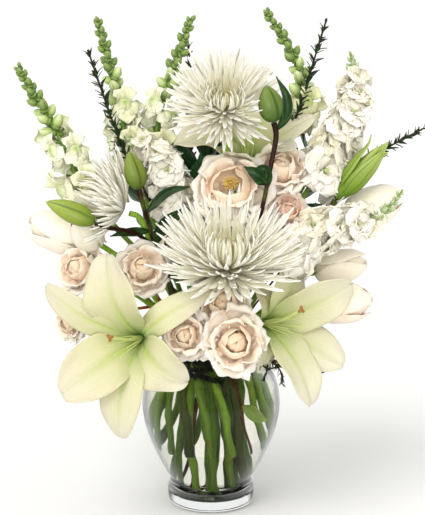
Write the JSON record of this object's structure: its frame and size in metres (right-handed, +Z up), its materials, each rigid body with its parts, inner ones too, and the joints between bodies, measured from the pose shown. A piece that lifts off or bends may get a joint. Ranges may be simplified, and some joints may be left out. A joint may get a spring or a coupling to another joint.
{
  "type": "lilies in a vase",
  "caption": "Mixed bouquet of white and cream garden flowers with greenery, standing in water in a footed clear glass vase with a rounded body and a flared rim.",
  "frame": {"origin": "centre of the vase's underside, where it rests on a surface", "axes": "+Z up along the vase's axis, -Y towards the side that the picture shows, +X to the right in the picture"},
  "size_m": [0.414, 0.2598, 0.4956],
  "materials": {
    "vase_glass": "clear polished soda glass",
    "water": "still clear water",
    "lily_petal": "soft cream petal, pale green at the throat",
    "lily_pistil": "matt pale green",
    "lily_bud_skin": "matt yellow-green skin",
    "tulip_petal": "satin ivory petal",
    "mum_petal": "matt cream ray florets",
    "rose_petal": "matt pale cream and peach petal",
    "snapdragon": "matt white florets and green buds",
    "stock": "matt white florets",
    "green_stem": "fresh green stem with a satin skin",
    "sprig": "dark green needles on a red-brown twig",
    "foliage": "waxy dark green leaf"
  },
  "bodies": {
    "root": {"foliage_back": "foliage", "foliage_left": "foliage", "foliage_middle": "foliage", "foliage_right": "foliage", "lily_back_bloom": "lily_petal", "lily_back_pistil": "lily_pistil", "lily_back_stem": "green_stem", "lily_bud_left": "lily_bud_skin", "lily_bud_opening": "lily_bud_skin", "lily_bud_tall": "lily_bud_skin", "lily_bud_upright": "lily_bud_skin", "lily_left_bloom": "lily_petal", "lily_left_pistil": "lily_pistil", "lily_left_stem": "green_stem", "lily_right_bloom": "lily_petal", "lily_right_pistil": "lily_pistil", "lily_right_stem": "green_stem", "mum_front_bloom": "mum_petal", "mum_front_stem": "green_stem", "mum_left_bloom": "mum_petal", "mum_left_stem": "green_stem", "mum_top_bloom": "mum_petal", "mum_top_stem": "green_stem", "rose_blush_bloom": "rose_petal", "rose_front_bloom": "rose_petal", "rose_high_bloom": "rose_petal", "rose_left_bloom": "rose_petal", "rose_low_bloom": "rose_petal", "rose_middle_bloom": "rose_petal", "rose_open_bloom": "rose_petal", "rose_small_bloom": "rose_petal", "rose_spray_back_stem": "green_stem", "rose_spray_front_stem": "green_stem", "rose_spray_left_stem": "green_stem", "rose_under_bloom": "rose_petal", "snapdragon_back": "snapdragon", "snapdragon_left": "snapdragon", "snapdragon_middle": "snapdragon", "snapdragon_right": "snapdragon", "sprig_back": "sprig", "sprig_left": "sprig", "sprig_low": "sprig", "sprig_right": "sprig", "sprig_tall": "sprig", "stock_front": "stock", "stock_left": "stock", "stock_right": "stock", "tulip_far_bloom": "tulip_petal", "tulip_far_stem": "green_stem", "tulip_fringed_bloom": "tulip_petal", "tulip_fringed_stem": "green_stem", "tulip_left_bloom": "tulip_petal", "tulip_left_stem": "green_stem", "tulip_right_bloom": "tulip_petal", "tulip_right_stem": "green_stem", "tulip_small_bloom": "tulip_petal", "tulip_small_stem": "green_stem", "vase": "vase_glass", "water": "water"}
  },
  "joints": []
}
